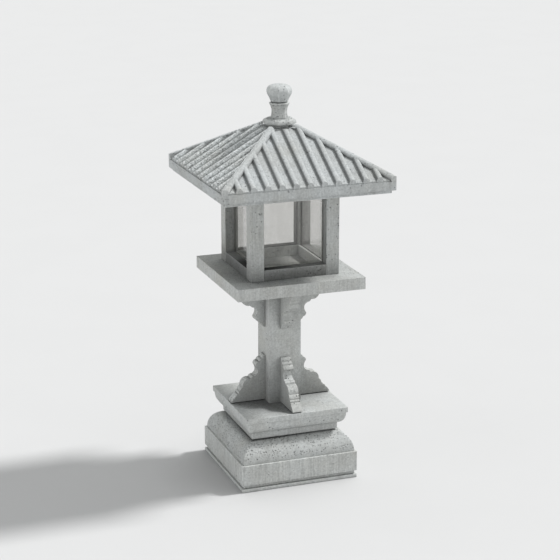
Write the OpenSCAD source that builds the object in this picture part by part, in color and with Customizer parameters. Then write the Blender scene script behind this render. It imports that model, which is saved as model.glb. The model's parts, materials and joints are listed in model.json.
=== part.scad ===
// Garden stone lantern: a stack of cut stones with a glazed lamp chamber under a tiled roof.
// Millimetres, +Z up. The origin is the centre of the underside, on the ground.
// Front is -Y, right is +X, back is +Y and left is -X.

/* [Plinth] */
// Width of the square foot slab and of the plinth
plinth_w = 375; // [370:1:420]
// Thickness of the foot slab that lies on the ground
foot_slab_h = 11; // [8:1:20]
// Height of the plinth above the foot slab
plinth_h = 75; // [60:1:100]
// Height of the recessed strip at the bottom of the plinth
plinth_recess_h = 11; // [4:1:14]
// Depth of the recessed strips under the plinth and the base slab
recess_depth = 6; // [3:0.5:8]

/* [Cushion course] */
// Width of the cushion course where it stands on the plinth
cushion_w = 362; // [350:1:370]
// Height of the cushion course
cushion_h = 61; // [56:1:62]
// Radius of the cushion's rounded shoulder
cushion_r = 62.5; // [62:0.5:66]

/* [Base slab] */
// Width of the flat top of the moulded base slab
base_slab_w = 330; // [326:1:350]
// Height of the base slab
base_slab_h = 79; // [76:1:90]
// Width of the square neck under its moulding
base_neck_w = 279; // [260:1:280]
// Height of the neck
base_neck_h = 23; // [18:1:26]
// Height of the flat band along its top edge
base_band_h = 17; // [12:1:20]
// Height of the recessed strip under the neck
base_recess_h = 4; // [2:0.5:6]

/* [Column and brackets] */
// Width of the square column
column_w = 103.2; // [96:0.2:112]
// Height of the column
column_h = 384.6; // [340:0.2:440]
// Thickness of each scroll bracket
bracket_t = 32; // [24:1:40]
// Open joint between a bracket's long edge and the slab beside it
bracket_joint = 3; // [1:0.5:4]

/* [Lamp chamber] */
// Width of the platform that carries the lamp chamber
platform_w = 404; // [380:1:430]
// Thickness of the platform
platform_h = 37.6; // [34:0.2:46]
// Width of the chamber over the outsides of its posts
chamber_w = 280.2; // [270:0.2:300]
// Width of each square corner post
post_w = 41.4; // [38:0.2:48]
// Height of the corner posts
post_h = 265.2; // [220:0.2:320]
// Height of the sills between the posts
sill_h = 33; // [24:1:40]
// Thickness of the glass panes
glass_t = 4; // [3:0.5:4.5]

/* [Roof] */
// Width of the ceiling slab under the eaves
ceiling_w = 515.4; // [500:0.2:520]
// Height of the ceiling slab's edge that shows below the eaves
ceiling_h = 10.1; // [8:0.1:14]
// Width of the roof stone at its eaves
roof_w = 534; // [526:1:540]
// Height of the flat band round the eaves
eaves_h = 26.5; // [22:0.5:32]
// Rise of the roof for each unit of its run
roof_slope = 0.57; // [0.54:0.01:0.6]
// Distance between neighbouring tile ribs
rib_pitch = 43.3; // [42:0.1:44]
// Radius of the half round tile ribs
rib_r = 10.5; // [8:0.1:12]
// Radius of the round ridges along the four hips
hip_r = 12; // [11:0.1:13]

/* [Finial] */
// Largest radius of the finial's eight sided foot ring, to its corners
ring_r = 52; // [48:0.5:52]
// Largest radius of the finial's bud, to its corners
bud_r = 39; // [36:0.5:42]

/* [Hidden] */

FRONT = 0;
RIGHT = 1;
BACK = 2;
LEFT = 3;
$fn = 48;
eps = 0.01;
far = 1000;
arc_steps = 6;
pale_stone = "#b9bdb8";
grey_stone = "#aab0aa";
dark_stone = "#9ea39f";
steel = "#8c9094";
clear_glass = [0.75, 0.76, 0.74, 0.4];

// heights of the joints between the stones
plinth_z = foot_slab_h;
cushion_z = plinth_z + plinth_h;
base_slab_z = cushion_z + cushion_h;
column_z = base_slab_z + base_slab_h;
platform_z = column_z + column_h;
chamber_z = platform_z + platform_h;
ceiling_z = chamber_z + post_h;
roof_z = ceiling_z + ceiling_h;
tiles_z = roof_z + eaves_h;

// cushion course and base slab mouldings
cushion_foot_h = 1.5;
ovolo_w = 20;
ovolo_h = 35;
neck_step = 1.5;
band_step = 4;

// lamp chamber
post_c = (chamber_w - post_w) / 2;
opening_w = chamber_w - 2 * post_w;
glass_gap = 0.5;
groove_depth = 4;
groove_w = glass_t + 2 * glass_gap;
glass_c = opening_w / 2 + 10;
pane_w = opening_w + 2 * (groove_depth - glass_gap);
pane_h = post_h - sill_h + groove_depth - 2 * glass_gap;
pane_z = chamber_z + sill_h - groove_depth + glass_gap;

// ceiling slab, whose tongue fits a shallow rebate under the roof stone
tongue_w = 480;
tongue_h = 12;
tongue_gap = 0.5;

// roof: the tiled surface starts a little inside the eaves and on a thin upright edge
ledge = 4;
edge_h = 5;
ribs_each_side = 5;
tiles_w = roof_w - 2 * ledge;
pan_z = tiles_z + edge_h;
apex_z = pan_z + roof_slope * tiles_w / 2;
slope_angle = atan(roof_slope);
hip_angle = atan(roof_slope / sqrt(2));
rib_clip = 1;
hip_clip = 2;
point_w = 4;

// finial: its drum stands on a flat seat cut into the top of the roof stone, and carries the ring
seat_drop = 21;
seat_z = apex_z - seat_drop;
seat_r = 60;
drum_r = 39;
drum_h = 9.5;
ring_z = seat_z + drum_h;
ring_h = 15.5;
ring_lip = 1.5;
neck_z = ring_z + ring_h;
neck_h = 47.5;
neck_foot_r = 27.5;
neck_waist_r = 23;
neck_rim_r = 31;
rim_h = 4;
bud_z = neck_z + neck_h;
bud_joint_h = 3;
bud_joint_r = 23.5;
bud_foot_r = 27;
bud_h = 54.5;
bud_wide_h = 34;
bud_top_r = 27;

// dowels
big_dowel_r = 10;
dowel_r = 8;
small_dowel_r = 6;
lift_gap = 0.5;
dowel_sink = 25;
column_sink = 40;
platform_sink = 24;
post_pin_out = 14;
finial_sink = 40;
bud_sink = 18;
bracket_pin_h = 60;

// ---------- shared shapes ----------

// points of the arc from p to q whose middle stands off the chord by sag,
// to the left of the way along it, without q itself
function arc_points(p, q, sag) =
    let (
        chord = norm(q - p),
        side = sag < 0 ? -1 : 1,
        r = (chord * chord / 4 + sag * sag) / (2 * abs(sag)),
        out = side * [p.y - q.y, q.x - p.x] / chord,
        centre = (p + q) / 2 + out * (abs(sag) - r),
        middle = atan2(out.y, out.x),
        half = asin(chord / (2 * r))
    )
    [
        for (i = [0 : arc_steps - 1])
            let (a = middle + side * half * (1 - 2 * i / arc_steps))
                centre + r * [cos(a), sin(a)]
    ];

// points of the cubic curve with the four control points a, b, c and d
function curve_points(a, b, c, d) = [
    for (i = [0 : arc_steps])
        let (t = i / arc_steps, u = 1 - t)
            u * u * u * a + 3 * u * u * t * b + 3 * u * t * t * c + t * t * t * d
];

module square_slab(w, z0, z1) {
    translate([-w / 2, -w / 2, z0])
        cube([w, w, z1 - z0]);
}

// closed outline of a moulding from its right side, given as [half width, height] pairs upwards
function both_sides(right) = concat(
    right,
    [for (i = [len(right) - 1 : -1 : 0]) if (right[i].x > 0) [-right[i].x, right[i].y]]
);

// square stone whose four sides all have the moulding, mitred at the corners
module square_moulding(right) {
    intersection() {
        translate([0, far / 2, 0]) rotate([90, 0, 0])
            linear_extrude(far) polygon(both_sides(right));
        rotate([0, 0, 90]) translate([0, far / 2, 0]) rotate([90, 0, 0])
            linear_extrude(far) polygon(both_sides(right));
    }
}

// eight sided turned stone with flat sides to the front, right, back and left
module eight_sided(half) {
    rotate([0, 0, 22.5])
        rotate_extrude($fn = 8) polygon(half);
}

module upright_dowel(r, z0, z1) {
    translate([0, 0, z0])
        cylinder(h = z1 - z0, r = r);
}

// puts what follows at each of the four corner posts in turn
module at_posts() {
    for (i = [FRONT : LEFT])
        rotate([0, 0, 90 * i]) translate([post_c, -post_c, 0]) children();
}

// ---------- foot, plinth, cushion course and base slab ----------

module foot_slab() {
    color(grey_stone)
        square_slab(plinth_w, 0, foot_slab_h);
}

module plinth() {
    color(pale_stone) difference() {
        union() {
            square_slab(plinth_w - 2 * recess_depth, plinth_z, plinth_z + plinth_recess_h + eps);
            square_slab(plinth_w, plinth_z + plinth_recess_h, cushion_z);
        }
        upright_dowel(dowel_r, cushion_z - dowel_sink, cushion_z + far);
    }
}

// the shoulder is a quarter round that stops at the flat top
module cushion_course() {
    centre = [cushion_w / 2 - cushion_r, cushion_z + cushion_foot_h];
    top_angle = asin((cushion_h - cushion_foot_h) / cushion_r);
    steps = 2 * arc_steps;
    shoulder = [
        for (i = [0 : steps])
            centre + cushion_r * [cos(top_angle * i / steps), sin(top_angle * i / steps)]
    ];
    color(grey_stone) difference() {
        square_moulding(concat([[cushion_w / 2, cushion_z]], shoulder));
        upright_dowel(dowel_r, cushion_z - far, cushion_z + dowel_sink);
        upright_dowel(dowel_r, base_slab_z - dowel_sink, base_slab_z + far);
    }
}

// recess, neck, ovolo and flat band from the bottom up
module base_slab() {
    neck = base_neck_w / 2;
    top = base_slab_w / 2;
    neck_top_z = base_slab_z + base_neck_h;
    band_z = column_z - base_band_h;
    ovolo_c = [top - band_step - ovolo_w, band_z - neck_step];
    ovolo = [
        for (i = [0 : arc_steps])
            ovolo_c + [ovolo_w * sin(90 * i / arc_steps), -ovolo_h * cos(90 * i / arc_steps)]
    ];
    foot = [
        [neck - recess_depth, base_slab_z],
        [neck - recess_depth, base_slab_z + base_recess_h],
        [neck, base_slab_z + base_recess_h],
        [neck, neck_top_z]
    ];
    head = [[top, band_z], [top, column_z]];
    color(pale_stone) difference() {
        square_moulding(concat(foot, ovolo, head));
        upright_dowel(dowel_r, base_slab_z - far, base_slab_z + dowel_sink);
        upright_dowel(big_dowel_r, column_z - column_sink, column_z + far);
    }
}

// ---------- column and scroll brackets ----------

module column() {
    color(grey_stone) difference() {
        square_slab(column_w, column_z, platform_z);
        upright_dowel(big_dowel_r, column_z - far, column_z + column_sink);
        upright_dowel(big_dowel_r, platform_z - column_sink, platform_z + far);
        lower_bracket_pins();
        upper_bracket_pins();
    }
}

// edge of a bracket from its tip on the column down to the slab it stands by:
// [distance from the column, height over the slab], then how far that stretch bulges
bracket_edge = [
    [[0, 147], 2.7],
    [[11, 136], 2.6],
    [[21, 127], 3.2],
    [[32, 115], -2],
    [[25, 95], -2.4],
    [[37, 81.5], 2.2],
    [[48, 74], 9.7],
    [[75, 49], 2.8],
    [[83, 35], 1.8],
    [[88.5, 28], 2.2],
    [[97, 21.5], 1.4]
];
bracket_toe = [110.5, 5];

module bracket_outline() {
    count = len(bracket_edge);
    edge = [
        for (i = [0 : count - 1])
            let (next = i + 1 < count ? bracket_edge[i + 1][0] : bracket_toe)
                each arc_points(bracket_edge[i][0], next, bracket_edge[i][1])
    ];
    base = [bracket_toe, [bracket_toe.x, bracket_joint], [0, bracket_joint]];
    polygon(concat(edge, base));
}

// bracket on the column's right side with its long edge down, turned to the side it belongs to
module bracket(side) {
    rotate([0, 0, 90 * (side - RIGHT)])
        translate([column_w / 2, bracket_t / 2, 0]) rotate([90, 0, 0])
            linear_extrude(bracket_t) bracket_outline();
}

module bracket_pin(side, z) {
    rotate([0, 0, 90 * (side - RIGHT)]) translate([column_w / 2 - dowel_sink, 0, z])
        rotate([0, 90, 0]) cylinder(h = 2 * dowel_sink, r = small_dowel_r);
}

module lower_bracket_pins() {
    for (side = [FRONT : LEFT]) bracket_pin(side, column_z + bracket_pin_h);
}

module upper_bracket_pins() {
    for (side = [FRONT : LEFT]) bracket_pin(side, platform_z - bracket_pin_h);
}

module lower_bracket(side) {
    color(pale_stone) difference() {
        translate([0, 0, column_z]) bracket(side);
        bracket_pin(side, column_z + bracket_pin_h);
    }
}

module upper_bracket(side) {
    color(pale_stone) difference() {
        translate([0, 0, platform_z]) mirror([0, 0, 1]) bracket(side);
        bracket_pin(side, platform_z - bracket_pin_h);
    }
}

// ---------- lamp chamber ----------

module platform() {
    color(pale_stone) difference() {
        square_slab(platform_w, platform_z, chamber_z);
        upright_dowel(big_dowel_r, platform_z - far, platform_z + platform_sink);
        at_posts() upright_dowel(small_dowel_r, chamber_z - dowel_sink, chamber_z + far);
    }
}

// groove in the front side of the chamber that holds the front pane's edges
module front_groove() {
    translate([-opening_w / 2 - groove_depth, -glass_c - groove_w / 2, pane_z - glass_gap])
        cube([opening_w + 2 * groove_depth, groove_w, far]);
}

// post at the right end of the given side
module post(side) {
    rotate([0, 0, 90 * side]) color(grey_stone) difference() {
        translate([post_c - post_w / 2, -post_c - post_w / 2, chamber_z])
            cube([post_w, post_w, post_h]);
        front_groove();
        rotate([0, 0, 90]) front_groove();
        translate([post_c, -post_c, 0]) {
            upright_dowel(small_dowel_r, chamber_z - far, chamber_z + dowel_sink);
            upright_dowel(small_dowel_r, ceiling_z - dowel_sink, ceiling_z + far);
        }
    }
}

module sill(side) {
    rotate([0, 0, 90 * side]) color(dark_stone) difference() {
        translate([-opening_w / 2, -chamber_w / 2, chamber_z])
            cube([opening_w, post_w, sill_h]);
        front_groove();
    }
}

module glass(side) {
    rotate([0, 0, 90 * side]) color(clear_glass)
        translate([-pane_w / 2, -glass_c - glass_t / 2, pane_z])
            cube([pane_w, glass_t, pane_h]);
}

// ---------- roof ----------

module ceiling_slab() {
    color(grey_stone) difference() {
        union() {
            square_slab(ceiling_w, ceiling_z, roof_z);
            square_slab(tongue_w, roof_z - eps, roof_z + tongue_h);
        }
        at_posts()
            upright_dowel(small_dowel_r + lift_gap, ceiling_z - far, ceiling_z + post_pin_out + 1);
    }
}

// pyramid under the tile ribs, with its point left off above the finial's seat
module tile_pan() {
    square_moulding([
        [tiles_w / 2, roof_z + eaves_h / 2],
        [tiles_w / 2, pan_z],
        [point_w / 2, apex_z - roof_slope * point_w / 2]
    ]);
}

// round bar that lies on the roof's front slope, x off its middle
module rib_bar(x) {
    translate([x, -tiles_w / 2, pan_z]) rotate([slope_angle - 90, 0, 0])
        translate([0, 0, -2 * rib_r]) rotate([0, 0, 90])
            cylinder(h = tiles_w / 2 / cos(slope_angle) + 2 * rib_r, r = rib_r);
}

// the front slope's share of the roof, seen from above
module front_sector() {
    half = tiles_w / 2 + rib_clip;
    translate([0, 0, roof_z + eaves_h / 2])
        linear_extrude(far)
            polygon([[0, -hip_clip], [-half + hip_clip, -half], [half - hip_clip, -half]]);
}

module front_ribs() {
    intersection() {
        union() {
            for (i = [-ribs_each_side : ribs_each_side]) rib_bar(i * rib_pitch);
        }
        front_sector();
    }
}

// round ridge along the hip between the right and the back slope
module hip_ridge() {
    intersection() {
        rotate([0, 0, 45]) translate([tiles_w / sqrt(2), 0, pan_z]) rotate([0, hip_angle - 90, 0])
            translate([0, 0, -3 * hip_r])
                cylinder(h = tiles_w / sqrt(2) / cos(hip_angle) + 3 * hip_r, r = hip_r);
        translate([0, 0, roof_z + eaves_h / 2])
            cube([roof_w / 2, roof_w / 2, far]);
    }
}

module roof_stone() {
    color(pale_stone) difference() {
        union() {
            square_slab(roof_w, roof_z, tiles_z);
            tile_pan();
            for (i = [FRONT : LEFT]) {
                rotate([0, 0, 90 * i]) front_ribs();
                rotate([0, 0, 90 * i]) hip_ridge();
            }
        }
        square_slab(tongue_w + 2 * tongue_gap, roof_z - far, roof_z + tongue_h);
        upright_dowel(seat_r, seat_z, seat_z + far);
        upright_dowel(dowel_r + lift_gap, seat_z - finial_sink - 1, seat_z + far);
    }
}

// ---------- finial ----------

// drum, ring with a quarter round top, waisted stem and rim from the bottom up
module finial_neck() {
    round_r = ring_h - ring_lip;
    ring_c = [ring_r - round_r, ring_z + ring_lip];
    ring = [
        for (i = [0 : arc_steps])
            ring_c + round_r * [cos(90 * i / arc_steps), sin(90 * i / arc_steps)]
    ];
    foot = [[0, seat_z], [drum_r, seat_z], [drum_r, ring_z], [ring_r - ring_lip, ring_z]];
    rim_z = bud_z - rim_h;
    stem = curve_points(
        [neck_foot_r, neck_z],
        [neck_waist_r - 1, neck_z + 0.35 * neck_h],
        [neck_waist_r - 1, rim_z - 0.3 * neck_h],
        [neck_rim_r, rim_z]
    );
    head = [[neck_rim_r, bud_z - 1], [neck_rim_r - 1, bud_z], [0, bud_z]];
    color(grey_stone) difference() {
        eight_sided(concat(foot, ring, stem, head));
        upright_dowel(dowel_r, seat_z - far, seat_z + dowel_sink);
        upright_dowel(small_dowel_r, bud_z - bud_sink, bud_z + far);
    }
}

module finial_bud() {
    joint_z = bud_z + bud_joint_h;
    wide_z = bud_z + bud_wide_h;
    top_z = bud_z + bud_h;
    flare = curve_points(
        [bud_foot_r, joint_z],
        [bud_foot_r + 2, joint_z + 12],
        [bud_r, wide_z - 12],
        [bud_r, wide_z]
    );
    shoulder = curve_points(
        [bud_r, wide_z + 1],
        [bud_r, wide_z + 10],
        [bud_top_r + 6, top_z - 6],
        [bud_top_r, top_z - 3]
    );
    foot = [[0, bud_z], [bud_joint_r, bud_z], [bud_joint_r, joint_z]];
    color(pale_stone) difference() {
        eight_sided(concat(foot, flare, shoulder, [[0.45 * bud_top_r, top_z], [0, top_z]]));
        upright_dowel(small_dowel_r, bud_z - far, bud_z + bud_sink);
    }
}

// ---------- dowels ----------

module plinth_dowel() {
    color(steel) upright_dowel(dowel_r, cushion_z - dowel_sink, cushion_z + dowel_sink);
}

module cushion_dowel() {
    color(steel) upright_dowel(dowel_r, base_slab_z - dowel_sink, base_slab_z + dowel_sink);
}

module column_foot_dowel() {
    color(steel) upright_dowel(big_dowel_r, column_z - column_sink, column_z + column_sink);
}

module column_head_dowel() {
    color(steel) upright_dowel(big_dowel_r, platform_z - column_sink, platform_z + platform_sink);
}

module lower_bracket_dowels() {
    color(steel) lower_bracket_pins();
}

module upper_bracket_dowels() {
    color(steel) upper_bracket_pins();
}

module post_foot_dowels() {
    color(steel) at_posts()
        upright_dowel(small_dowel_r, chamber_z - dowel_sink, chamber_z + dowel_sink);
}

module post_head_dowels() {
    color(steel) at_posts()
        upright_dowel(small_dowel_r, ceiling_z - dowel_sink, ceiling_z + post_pin_out);
}

module finial_dowel() {
    color(steel) upright_dowel(dowel_r, seat_z - finial_sink, seat_z + dowel_sink);
}

module bud_dowel() {
    color(steel) upright_dowel(small_dowel_r, bud_z - bud_sink, bud_z + bud_sink);
}

foot_slab();
plinth();
cushion_course();
base_slab();
column();
lower_bracket(FRONT);  // lower_bracket_front
lower_bracket(RIGHT);  // lower_bracket_right
lower_bracket(BACK);  // lower_bracket_back
lower_bracket(LEFT);  // lower_bracket_left
upper_bracket(FRONT);  // upper_bracket_front
upper_bracket(RIGHT);  // upper_bracket_right
upper_bracket(BACK);  // upper_bracket_back
upper_bracket(LEFT);  // upper_bracket_left
platform();
post(FRONT);  // post_front_right
post(RIGHT);  // post_back_right
post(BACK);  // post_back_left
post(LEFT);  // post_front_left
sill(FRONT);  // sill_front
sill(RIGHT);  // sill_right
sill(BACK);  // sill_back
sill(LEFT);  // sill_left
glass(FRONT);  // glass_front
glass(RIGHT);  // glass_right
glass(BACK);  // glass_back
glass(LEFT);  // glass_left
ceiling_slab();
roof_stone();
finial_neck();
finial_bud();
plinth_dowel();
cushion_dowel();
column_foot_dowel();
column_head_dowel();
lower_bracket_dowels();
upper_bracket_dowels();
post_foot_dowels();
post_head_dowels();
finial_dowel();
bud_dowel();
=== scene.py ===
"""Looks of the stone garden lantern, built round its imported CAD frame. Metres, Z up, front -Y."""

import json
import math

import bmesh
import bpy
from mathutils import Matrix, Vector, noise


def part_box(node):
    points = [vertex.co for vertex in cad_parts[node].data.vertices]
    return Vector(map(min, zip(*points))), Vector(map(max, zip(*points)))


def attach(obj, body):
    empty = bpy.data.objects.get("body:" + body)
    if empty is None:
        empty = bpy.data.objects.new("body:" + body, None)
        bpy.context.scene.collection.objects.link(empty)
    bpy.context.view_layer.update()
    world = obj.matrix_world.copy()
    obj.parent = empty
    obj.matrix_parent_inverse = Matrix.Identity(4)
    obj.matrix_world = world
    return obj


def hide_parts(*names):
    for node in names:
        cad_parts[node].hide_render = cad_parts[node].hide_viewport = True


MM = 0.001
SIDES = ("front", "right", "back", "left")
CORNERS = ("front_right", "back_right", "back_left", "front_left")

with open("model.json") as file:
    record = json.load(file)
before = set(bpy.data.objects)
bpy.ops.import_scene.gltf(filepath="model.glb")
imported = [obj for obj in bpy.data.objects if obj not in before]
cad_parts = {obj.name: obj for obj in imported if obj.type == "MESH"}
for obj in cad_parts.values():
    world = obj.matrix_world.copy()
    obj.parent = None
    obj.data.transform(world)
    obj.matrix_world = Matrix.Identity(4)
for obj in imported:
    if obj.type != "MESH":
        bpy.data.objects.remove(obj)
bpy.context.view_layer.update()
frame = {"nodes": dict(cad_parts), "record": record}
record = frame["record"]
nodes = frame["nodes"]
body_of = {n: body for body, members in record["behaviour"]["bodies"].items() for n in members}
slot_of = {part["node"]: part["material_slot"] for part in record["subparts"]}


# ---------- camera ----------

scene = bpy.context.scene
scene.view_settings.view_transform = "Standard"


def towards(azimuth, elevation):
    """Direction turned in degrees from the front towards the right, and raised over the floor."""
    a, e = math.radians(azimuth), math.radians(elevation)
    return Vector((math.sin(a) * math.cos(e), -math.cos(a) * math.cos(e), math.sin(e)))


def add_camera(direction, distance, aim, lens):
    """The scene's camera, in a direction and at a distance from the point that it looks at."""
    data = bpy.data.cameras.new("photo_view")
    data.lens = lens
    data.sensor_width = 36
    data.clip_end = 200
    camera = bpy.data.objects.new("photo_view", data)
    camera.location = aim + direction * distance
    camera.rotation_euler = direction.to_track_quat("Z", "Y").to_euler()
    scene.collection.objects.link(camera)
    scene.camera = camera


add_camera(towards(-20.165, 16.256), distance=5.2551, aim=Vector((0.00207, -0.00076, 0.6041)), lens=110.16)


# ---------- shader helpers ----------


class Shader:
    """Builds one material's node tree. An input is a number, a colour or another node's output."""

    def __init__(self, name):
        self.material = bpy.data.materials.new(name)
        self.material.use_nodes = True
        self.tree = self.material.node_tree
        self.tree.nodes.clear()
        self.output = self.tree.nodes.new("ShaderNodeOutputMaterial")

    def fill(self, socket, value):
        """Links another node's output to a socket, or sets the socket's own value."""
        if isinstance(value, bpy.types.NodeSocket):
            self.tree.links.new(value, socket)
        else:
            socket.default_value = value

    def add(self, kind, values=None, **settings):
        """Adds a node of a kind with its settings and the values of its inputs."""
        n = self.tree.nodes.new("ShaderNode" + kind)
        for key, value in settings.items():
            setattr(n, key, value)
        for key, value in (values or {}).items():
            self.fill(n.inputs[key], value)
        return n

    def place(self, scale=(1, 1, 1), offset=(0, 0, 0)):
        """The object's own coordinates in metres, stretched and shifted."""
        own = self.add("TexCoord").outputs["Object"]
        return self.add("Mapping", {"Vector": own, "Scale": scale, "Location": offset}).outputs[0]

    def cloud(self, scale, detail=3.0, rough=0.5, at=None):
        """Noise from about 0 to 1 whose blobs are about 1 / scale metres wide."""
        values = {"Vector": at or self.place(), "Scale": scale, "Detail": detail, "Roughness": rough}
        return self.add("TexNoise", values).outputs["Fac"]

    def remap(self, value, low, high, to_low=0.0, to_high=1.0):
        """Smooth step from to_low to to_high as the value goes from low to high."""
        values = {"Value": value, "From Min": low, "From Max": high, "To Min": to_low, "To Max": to_high}
        return self.add("MapRange", values, interpolation_type="SMOOTHSTEP").outputs[0]

    def maths(self, operation, a, b=0.0):
        return self.add("Math", {0: a, 1: b}, operation=operation).outputs[0]

    def plus(self, a, b):
        return self.maths("ADD", a, b)

    def times(self, a, b):
        return self.maths("MULTIPLY", a, b)

    def shade(self, light, mask, factor):
        """Light that is multiplied by a factor where the mask is 1."""
        return self.times(light, self.remap(mask, 0, 1, 1.0, factor))

    def blend(self, factor, a, b, mode="MIX"):
        """Colour that goes from a to b as the factor goes from 0 to 1."""
        n = self.add("Mix", data_type="RGBA", blend_type=mode)
        self.fill(n.inputs["Factor"], factor)
        colours = [socket for socket in n.inputs if socket.type == "RGBA"]
        self.fill(colours[0], a)
        self.fill(colours[1], b)
        return next(socket for socket in n.outputs if socket.type == "RGBA")

    def brightness(self, light):
        """Neutral colour of a given brightness."""
        return self.add("CombineColor", {0: light, 1: light, 2: light}).outputs[0]

    def leaned(self, push):
        """The surface's normal, leaned over by a push, to gather shade more from that side."""
        normal = self.add("NewGeometry").outputs["Normal"]
        both = self.add("VectorMath", {0: normal, 1: push}, operation="ADD").outputs[0]
        return self.add("VectorMath", {0: both}, operation="NORMALIZE").outputs[0]

    def bumps(self, *layers):
        """Bumps on top of each other. Each has its height, how far it rises or sinks, and a strength."""
        normal = {}
        for height, rise, strength in layers:
            values = {"Height": height, "Distance": abs(rise), "Strength": strength, **normal}
            normal = {"Normal": self.add("Bump", values, invert=rise < 0).outputs[0]}
        return normal["Normal"]

    def finish(self, shader):
        self.tree.links.new(shader.outputs[0], self.output.inputs["Surface"])
        return self.material


def grey(value, warmth=0.0):
    """A pale stone colour from its brightness, faintly green. Warmth moves it from cool to sandy."""
    return (value * (0.985 + warmth), value * 1.008, value * (0.985 - 1.6 * warmth), 1)


# ---------- stone ----------

HOLLOW = 12 * MM  # reach of the shade in small steps and grooves
NOOK = 160 * MM  # reach of the painted shade in large corners
NEAR_FLOOR = 60 * MM  # below this the floor would count as a corner, so there is no such shade
OFF_FLOOR = 170 * MM  # above this corners have all of their shade


class Stone(Shader):
    """Shader of cut pale stone. The seed shifts its patterns, so that materials differ."""

    def __init__(self, name, seed):
        super().__init__(name)
        self.shift = (seed * 0.37, seed * 0.71, seed * 0.53)
        self.at = self.place(offset=self.shift)
        self.x, self.y, self.z = self.add("SeparateXYZ", {0: self.place()}).outputs
        normal = self.add("NewGeometry").outputs["Normal"]
        self.facing_x, _, self.facing_z = self.add("SeparateXYZ", {0: normal}).outputs
        self.top = self.remap(self.facing_z, 0.88, 1.0)
        # the left quarter of a stone, between its two left corners
        self.left_side = self.remap(self.plus(self.x, self.maths("ABSOLUTE", self.y)), 0.0, -8 * MM)
        self.carved = self.face_mark("carved")
        self.indoors = self.behind_glass()

    def face_mark(self, name):
        """A number that refine() gives each face of the mesh."""
        return self.add("Attribute", attribute_name=name, attribute_type="GEOMETRY").outputs["Fac"]

    def behind_glass(self):
        """1 at points inside the glazed chamber, which get no painted corner shade and no rubbed, highlit
        edges, and 0 outside it.
        """
        low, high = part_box("glass_front")
        out = self.maths("MAXIMUM", self.maths("ABSOLUTE", self.x), self.maths("ABSOLUTE", self.y))
        inside = self.maths("LESS_THAN", out, -low[1])
        above = self.maths("GREATER_THAN", self.z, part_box("platform")[1][2] - 2 * MM)
        below = self.maths("LESS_THAN", self.z, high[2] + 5 * MM)
        return self.times(inside, self.times(above, below))

    def mottled(self, tone, cool):
        """Cloudy colour with some sandy patches."""
        clouds = self.remap(self.cloud(9, 5, 0.6, self.at), 0.34, 0.66)
        colour = self.blend(clouds, grey(tone * 0.95, 0.008 - cool), grey(tone * 1.05, -0.004 - cool))
        sand = self.remap(self.cloud(6, 3, 0.6, self.place(offset=self.shift[::-1])), 0.54, 0.7)
        return self.blend(self.times(sand, 0.4), colour, grey(tone * 0.96, 0.035 - cool))

    def grains(self, grain, fine, tool, streaks):
        """Light of crystals and grains of a few millimetres, sawn texture and upright streaks."""
        cells = self.add("TexVoronoi", {"Vector": self.at, "Scale": 230.0}).outputs["Color"]
        crystals = self.add("SeparateColor", {"Color": cells}).outputs[0]
        light = self.plus(self.remap(crystals, 0, 1, -0.07, 0.07), self.remap(grain, 0.3, 0.7, -0.08, 0.08))
        light = self.plus(light, self.remap(fine, 0.3, 0.7, 0.95, 1.05))
        light = self.times(light, self.remap(tool, 0.35, 0.65, 1 - streaks, 1 + 0.7 * streaks))
        runs = self.cloud(42, 4, 0.6, self.place((1, 1, 0.3), self.shift))
        return self.times(light, self.remap(runs, 0.52, 0.72, 1.0, 0.88))

    def pits(self, share, size, worn, carved):
        """1 in ragged pits, closer together in some places than in others."""
        holes = self.add("TexVoronoi", {"Vector": self.at, "Scale": 1 / size})
        which = self.add("SeparateColor", {"Color": holes.outputs["Color"]}).outputs[1]
        which = self.plus(which, self.remap(self.cloud(18, 3, 0.6, self.at), 0.35, 0.65, 0.14, -0.14))
        which = self.plus(which, self.remap(self.left_side, 0, 1, 0.0, -worn))
        which = self.plus(which, self.remap(self.carved, 0, 1, 0.0, -carved))
        ragged = self.remap(self.cloud(600, 3, 0.6, self.at), 0.3, 0.7, -0.12, 0.12)
        ragged = self.plus(holes.outputs["Distance"], ragged)
        return self.times(self.remap(which, share, share - 0.06), self.remap(ragged, 0.34, 0.16))

    def small_hollows(self, steps, joints):
        """Shade in small steps and grooves. Flat tops have none."""
        sky = self.add("AmbientOcclusion", {"Distance": HOLLOW}, samples=6, only_local=not joints)
        clear = self.maths("MAXIMUM", self.remap(sky.outputs["AO"], 0.3, 0.9), self.top)
        return self.remap(clear, 0, 1, self.remap(self.carved, 0, 1, 1 - steps, 0.5), 1.0)

    def large_nooks(self, nooks):
        """Painted shade in corners, deepest on the front left of flat tops.

        Shelter counts most where it keeps off the light from the right and from the floor.
        """
        push = {0: 0.45, 1: self.remap(self.top, 0, 1, 0.05, 0.4), 2: -0.55}
        leaned = self.leaned(self.add("CombineXYZ", push).outputs[0])
        sky = self.add("AmbientOcclusion", {"Distance": NOOK, "Normal": leaned}, samples=8)
        unshaded = self.maths("MAXIMUM", self.indoors, self.remap(self.z, OFF_FLOOR, NEAR_FLOOR))
        clear = self.maths("MAXIMUM", self.remap(sky.outputs["AO"], 0.1, 0.93), unshaded)
        # painted shade on the front left of flat tops
        front_left = self.times(self.remap(self.x, 0.06, -0.1), self.remap(self.y, 0.07, -0.06))
        painted_front_left_shade = self.remap(self.times(self.top, front_left), 0, 1, 0.0, -0.65 * nooks)
        darkest = self.plus(painted_front_left_shade, self.remap(self.top, 0, 1, 1 - nooks, 1 - 0.8 * nooks))
        return self.remap(clear, 0, 1, darkest, 1.0)


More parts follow.
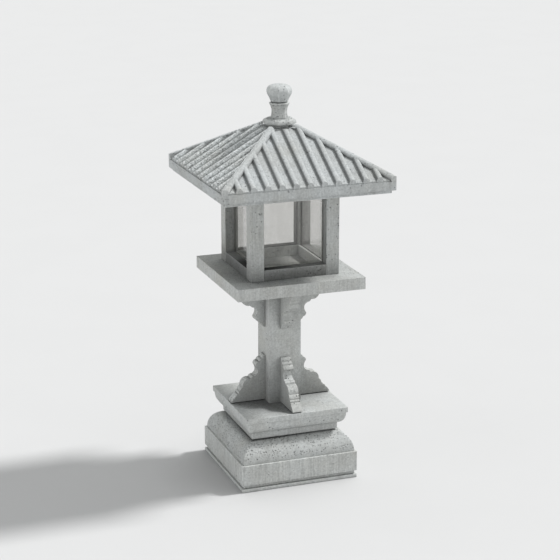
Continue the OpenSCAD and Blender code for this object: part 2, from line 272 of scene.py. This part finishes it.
def stone_material(
    name,
    seed,
    tone,
    pits,
    pit_size,
    streaks,
    cool=0.0,
    worn=0.0,
    carved=0.0,
    painted_flank_shade=0.0,
    indoor=1.0,
    nooks=0.5,
    steps=0.5,
    under=0.0,
    joints=False,
):
    """Cut pale stone: cloudy tone, crystals, tool marks, dark pits, painted shade in hollows, and
    paler, rubbed edges with a painted highlight.

    pits is the share of the cells, pit_size apart, that hold a pit. carved adds to that share on
    carved surfaces, and worn on the left side, where carved surfaces are pecked too and given
    painted light. Left flanks of carved shapes get painted shade by painted_flank_shade, their
    undersides by under, sheltered places by nooks and small steps in sawn faces by steps, where
    joints counts the stones next to this one too. Faces behind the glass have their light multiplied
    by indoor, as painted light or shade.
    """
    s = Stone(name, seed)
    grain = s.cloud(210, 4, 0.65, s.at)
    fine = s.cloud(900, 2, 0.6, s.at)
    tool = s.cloud(210, 2, 0.5, s.place((1, 1, 0.05), s.shift))
    flakes = s.cloud(220, 4, 0.7, s.at)
    pit = s.pits(pits, pit_size, worn, carved)
    flank = s.times(s.remap(s.facing_x, -0.5, -0.85), s.carved)
    below = s.times(s.remap(s.facing_z, -0.1, -0.7), s.carved)
    pecks_and_painted_light = s.times(s.remap(s.left_side, 0, 1, 0.25, 1.0), s.carved)
    pecks_and_painted_light = s.times(pecks_and_painted_light, min(1.0, 2 * worn))
    rubbed_and_highlit = s.times(s.face_mark("wear_and_highlight"), s.remap(s.cloud(60, 3, 0.6, s.at), 0.35, 0.62, 0.25, 1.0))
    rubbed_and_highlit = s.shade(rubbed_and_highlit, s.indoors, 0.0)

    light = s.shade(s.grains(grain, fine, tool, streaks), pit, 0.4)
    # painted shade on flat tops
    light = s.shade(light, s.top, 0.97)
    light = s.times(light, s.small_hollows(steps, joints))
    light = s.times(light, s.large_nooks(nooks))
    # painted light or shade on faces behind the glass
    light = s.shade(light, s.indoors, indoor)
    # painted shade on the left flanks of carved shapes, the side away from the key lamp
    light = s.shade(light, flank, 1 - painted_flank_shade)
    # painted shade on the undersides of carved shapes
    light = s.shade(light, below, 1 - under)
    # painted light on the left side of carved surfaces; the pecked speckle below is the stone's own
    light = s.times(light, s.remap(pecks_and_painted_light, 0.25, 1, 1.0, 1.6))
    light = s.shade(light, pecks_and_painted_light, s.remap(flakes, 0.38, 0.58, 0.5, 1.15))
    # rounded edges: paler where rubbed, and a painted highlight
    light = s.shade(light, rubbed_and_highlit, 1.25)

    bumps = s.bumps(
        (fine, 0.3 * MM, 0.8),
        (grain, 0.9 * MM, 0.9),
        (tool, 5 * MM * streaks, 0.9),
        (pit, -2.5 * MM, 1.0),
        (flakes, 5 * MM, pecks_and_painted_light),
    )
    stone = {
        "Base Color": s.blend(1.0, s.mottled(tone, cool), s.brightness(light), "MULTIPLY"),
        "Roughness": s.remap(s.plus(grain, rubbed_and_highlit), 0.3, 1.6, 0.95, 0.78),
        "Specular IOR Level": 0.25,
        "Normal": bumps,
    }
    return s.finish(s.add("BsdfPrincipled", stone))


# ---------- glass, steel and floor ----------


GLASS_INDEX = 1.5


def glass_material(name):
    """Old window glass: clear, faintly warm, with a thin film of dust and a slight ripple."""
    s = Shader(name)
    smear = s.cloud(40, 4, 0.6, s.place((1, 1, 0.3)))
    specks = s.cloud(600, 2, 0.5)
    film = s.plus(s.remap(smear, 0.35, 0.75, 0.01, 0.05), s.remap(specks, 0.6, 0.8, 0.0, 0.05))
    ripple = s.bumps((s.cloud(16, 2, 0.4), 0.6 * MM, 0.3))
    clear = s.add("BsdfTransparent", {"Color": (0.905, 0.903, 0.896, 1)})
    dust = s.add("BsdfPrincipled", {"Base Color": (0.62, 0.6, 0.56, 1), "Roughness": 0.9})
    body = s.add("MixShader", {0: film, 1: clear.outputs[0], 2: dust.outputs[0]})
    shine = s.add("BsdfGlossy", {"Roughness": s.remap(smear, 0.3, 0.8, 0.02, 0.12), "Normal": ripple})
    inside = s.add("NewGeometry").outputs["Backfacing"]
    edge_on = s.add("Fresnel", {"IOR": s.remap(inside, 0, 1, GLASS_INDEX, 1 / GLASS_INDEX), "Normal": ripple})
    return s.finish(s.add("MixShader", {0: edge_on.outputs[0], 1: body.outputs[0], 2: shine.outputs[0]}))


def steel_material(name):
    """Drawn stainless bar: dull grey with fine rings and a little stone dust."""
    s = Shader(name)
    lines = s.cloud(900, 2, 0.5, s.place((0.15, 0.15, 1)))
    dust = s.remap(s.cloud(90, 3, 0.6), 0.45, 0.7)
    metal = s.blend(s.remap(lines, 0.3, 0.7), (0.42, 0.43, 0.44, 1), (0.58, 0.59, 0.6, 1))
    steel = {
        "Base Color": s.blend(s.times(dust, 0.5), metal, (0.4, 0.4, 0.38, 1)),
        "Metallic": s.remap(dust, 0, 1, 1.0, 0.4),
        "Roughness": s.remap(s.plus(lines, dust), 0.3, 1.5, 0.3, 0.75),
        "Normal": s.bumps((lines, 0.1 * MM, 0.5)),
    }
    return s.finish(s.add("BsdfPrincipled", steel))


def floor_material(name):
    """Matt pale studio floor, with painted shade close to the object on its shadow side."""
    s = Shader(name)
    tone = s.remap(s.cloud(3, 2, 0.5), 0.3, 0.7, 0.662, 0.668)
    sky = s.add("AmbientOcclusion", {"Distance": 0.3, "Normal": s.leaned((1, 0.15, 0))}, samples=12)
    tone = s.times(tone, s.remap(sky.outputs["AO"], 0.2, 0.95, 0.72, 1.0))
    return s.finish(s.add("BsdfDiffuse", {"Color": s.brightness(tone)}))


# ---------- the materials ----------

slot_materials = {
    "base_stone": stone_material(
        "base_stone", seed=1, tone=0.565, pits=0.03, pit_size=8 * MM, streaks=0.05,
        cool=0.004, carved=0.1, nooks=0.58, joints=True,
    ),
    "column_stone": stone_material(
        "column_stone", seed=2, tone=0.545, pits=0.03, pit_size=7 * MM, streaks=0.04,
        carved=0.3, nooks=0.4, under=0.2,
    ),
    "chamber_stone": stone_material(
        "chamber_stone", seed=3, tone=0.53, pits=0.11, pit_size=6.5 * MM, streaks=0.07,
        indoor=0.93, nooks=0.45,
    ),
    "roof_stone": stone_material(
        "roof_stone", seed=4, tone=0.53, pits=0.04, pit_size=6 * MM, streaks=0.06,
        cool=0.014, worn=0.4, painted_flank_shade=0.5, nooks=0.2, steps=0.05,
    ),
    "finial_stone": stone_material(
        "finial_stone", seed=5, tone=0.555, pits=0.1, pit_size=6 * MM, streaks=0.02,
        cool=0.008,
    ),
    "pane_glass": glass_material("pane_glass"),
    "dowel_steel": steel_material("dowel_steel"),
}
# some stones differ from the others of their slot
node_materials = {
    "plinth": stone_material(
        "plinth_stone", seed=6, tone=0.57, pits=0.1, pit_size=6 * MM, streaks=0.09,
        steps=0.85, joints=True,
    ),
    "cushion_course": stone_material(
        "pitted_stone", seed=7, tone=0.525, pits=0.55, pit_size=5.5 * MM, streaks=0.02,
        cool=0.004,
    ),
    "finial_neck": stone_material(
        "pitted_neck_stone", seed=8, tone=0.55, pits=0.6, pit_size=6 * MM, streaks=0.02,
        cool=0.008, nooks=0.3,
    ),
}
# painted shade: the sills get a darker copy of the chamber stone for the roof's shadow on them, painted
# lighter again behind the glass
sill_stone = stone_material(
    "sill_stone", seed=9, tone=0.46, pits=0.05, pit_size=7 * MM, streaks=0.05,
    indoor=1.3, nooks=0.65,
)
for side in SIDES:
    node_materials["sill_" + side] = sill_stone


# ---------- pieces ----------

TOUCHING = 1e-6  # points of the CAD mesh this close are one point
SLIVER = 5e-6  # points this close after the grid is cut are one point
FLAT = math.radians(0.5)  # faces that meet at less than this are one face
ROUNDED = math.radians(30)  # outer edges that turn by more than this are rounded
SHARP = math.radians(42)  # edges that turn by more than this still look sharp


def cut_grid(bm, step):
    """Cuts every face along an even grid, so that its surface can be uneven."""
    for axis in range(3):
        values = [v.co[axis] for v in bm.verts]
        low, high = min(values), max(values)
        count = max(1, round((high - low) / step))
        normal = [0, 0, 0]
        normal[axis] = 1
        for i in range(1, count):
            at = [0, 0, 0]
            at[axis] = low + (high - low) * i / count
            everything = bm.verts[:] + bm.edges[:] + bm.faces[:]
            bmesh.ops.bisect_plane(bm, geom=everything, dist=TOUCHING, plane_co=at, plane_no=normal)


def weather(bm, uneven, chips, seed):
    """Presses the surface in a little where noise says so, and more at worn edges."""
    wear_and_highlight = bm.faces.layers.float["wear_and_highlight"]
    shift = Vector((seed * 1.7, seed * 3.1, seed * 5.3))
    bm.normal_update()
    moves = []
    for v in bm.verts:
        p = v.co + shift
        deep = uneven * (0.5 + 0.35 * noise.noise(p * 22) + 0.3 * noise.noise(p * 75))
        if chips and any(f[wear_and_highlight] > 0.5 for f in v.link_faces):
            deep += chips * 0.3 * (0.5 + noise.noise(p * 110))
            deep += chips * 3.0 * max(0.0, noise.noise(p * 48) - 0.3)
        moves.append(v.normal * -max(0.0, deep))
    for v, move in zip(bm.verts, moves):
        v.co += move


def refine(node, bevel, step, uneven=0.0, chips=0.0):
    """A finer mesh of a CAD node, with rounded edges, an even grid and an uneven surface.

    Its faces carry how rubbed they are, which also marks the edges that get a painted highlight, and whether
    they are carved or just sawn flat.
    """
    bm = bmesh.new()
    bm.from_mesh(nodes[node].data)
    bmesh.ops.remove_doubles(bm, verts=bm.verts, dist=TOUCHING)
    bmesh.ops.dissolve_limit(bm, angle_limit=FLAT, verts=bm.verts, edges=bm.edges)
    wear_and_highlight = bm.faces.layers.float.new("wear_and_highlight")
    carved = bm.faces.layers.float.new("carved")
    bm.normal_update()
    for f in bm.faces:
        f[carved] = float(max(abs(c) for c in f.normal) < 0.99)
    outer = [e for e in bm.edges if e.is_manifold and e.is_convex and e.calc_face_angle() > ROUNDED]
    made = bmesh.ops.bevel(
        bm, geom=outer, offset=bevel, segments=2, profile=0.5, affect="EDGES", clamp_overlap=True
    )
    for f in made["faces"]:
        f[wear_and_highlight] = 1.0
    cut_grid(bm, step)
    bmesh.ops.remove_doubles(bm, verts=bm.verts, dist=SLIVER)
    if uneven:
        weather(bm, uneven, chips, len(node))
    for e in bm.edges:
        if e.is_manifold and e.calc_face_angle() > SHARP:
            e.smooth = False
    for f in bm.faces:
        f.smooth = True
    mesh = bpy.data.meshes.new(node)
    bm.to_mesh(mesh)
    bm.free()
    return mesh


def piece(name, node, **cut):
    """Puts a finer mesh in the CAD node's place, on its body, with its own or its slot's material."""
    mesh = refine(node, **cut)
    obj = bpy.data.objects.new(name, mesh)
    scene.collection.objects.link(obj)
    mesh.materials.append(node_materials.get(node) or slot_materials[slot_of[node]])
    modifier = obj.modifiers.new("even_shading", "WEIGHTED_NORMAL")
    modifier.keep_sharp = True
    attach(obj, body_of[node])
    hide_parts(node)


for node in ("foot_slab", "plinth", "cushion_course", "base_slab", "platform", "ceiling_slab"):
    piece(node + "_stone", node, bevel=1.4 * MM, step=8 * MM, uneven=0.35 * MM, chips=0.5 * MM)
piece("column_stone", "column", bevel=1.6 * MM, step=8 * MM, uneven=0.3 * MM, chips=0.5 * MM)
for side in SIDES:
    for row in ("lower", "upper"):
        node = f"{row}_bracket_{side}"
        piece(node + "_stone", node, bevel=0.8 * MM, step=5 * MM, uneven=0.3 * MM, chips=0.5 * MM)
    node = "sill_" + side
    piece(node + "_stone", node, bevel=1.0 * MM, step=7 * MM, uneven=0.25 * MM, chips=0.4 * MM)
    node = "glass_" + side
    piece(node + "_pane", node, bevel=0.4 * MM, step=20 * MM)
for corner in CORNERS:
    node = "post_" + corner
    piece(node + "_stone", node, bevel=1.2 * MM, step=7 * MM, uneven=0.3 * MM, chips=0.5 * MM)
piece("tiled_roof_stone", "roof_stone", bevel=0.8 * MM, step=9 * MM, uneven=0.35 * MM, chips=0.4 * MM)
for node in ("finial_neck", "finial_bud"):
    piece(node + "_stone", node, bevel=1.2 * MM, step=3.5 * MM, uneven=0.5 * MM, chips=0.4 * MM)
for node in nodes:
    if slot_of[node] == "dowel_steel":
        piece(node + "_bar", node, bevel=1.0 * MM, step=12 * MM)


# ---------- floor and light ----------


def add_floor(reach):
    """Square studio floor that reaches this far from the object each way."""
    corners = [(-reach, -reach, 0), (reach, -reach, 0), (reach, reach, 0), (-reach, reach, 0)]
    data = bpy.data.meshes.new("studio_floor")
    data.from_pydata(corners, [], [(0, 1, 2, 3)])
    data.materials.append(floor_material("studio_floor"))
    floor = bpy.data.objects.new("studio_floor", data)
    scene.collection.objects.link(floor)


def add_sky(colour, strength):
    """Even light from all round, which is the background too."""
    world = bpy.data.worlds.new("studio")
    scene.world = world
    world.use_nodes = True
    background = world.node_tree.nodes["Background"]
    background.inputs["Color"].default_value = colour
    background.inputs["Strength"].default_value = strength


def add_softbox(name, direction, power, width):
    """A distant lamp, as wide in degrees as a softbox looks from the object."""
    data = bpy.data.lights.new(name, "SUN")
    data.energy = power
    data.angle = math.radians(width)
    lamp = bpy.data.objects.new(name, data)
    lamp.rotation_euler = direction.to_track_quat("Z", "Y").to_euler()
    scene.collection.objects.link(lamp)


add_floor(reach=40.0)
add_sky((0.985, 1.0, 1.0, 1), strength=0.595)
add_softbox("key", towards(88, 50), power=2.66, width=8)
add_softbox("fill", towards(275, 3), power=0.43, width=40)
